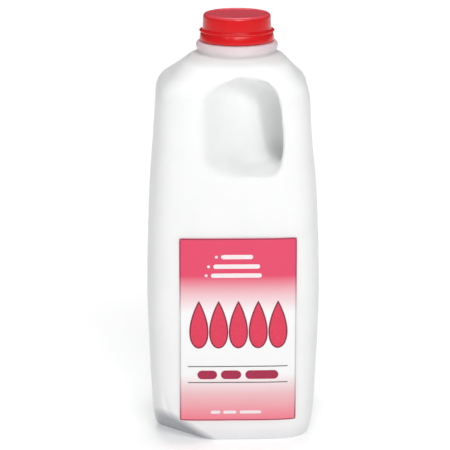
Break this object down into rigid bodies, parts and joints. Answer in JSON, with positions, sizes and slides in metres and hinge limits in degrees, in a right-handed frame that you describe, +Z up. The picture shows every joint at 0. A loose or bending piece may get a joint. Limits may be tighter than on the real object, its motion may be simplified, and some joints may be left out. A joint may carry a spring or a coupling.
{
  "type": "milk jug",
  "caption": "Shut square plastic milk jug with a moulded corner handle, a red screw cap with a tamper band and a front label; holds and pours milk.",
  "frame": {"origin": "centre of the bounding box at the base, on the surface the jug stands on", "axes": "+Z up along the jug, -Y out of the label, the handle on the corner between +X and -Y"},
  "size_m": [0.1024, 0.103, 0.25],
  "materials": {
    "jug_plastic": "satin milky white",
    "cap_plastic": "glossy",
    "label_film": "satin printed film"
  },
  "bodies": {
    "root": {"jug": "jug_plastic", "cap": "cap_plastic", "label": "label_film"}
  },
  "joints": []
}
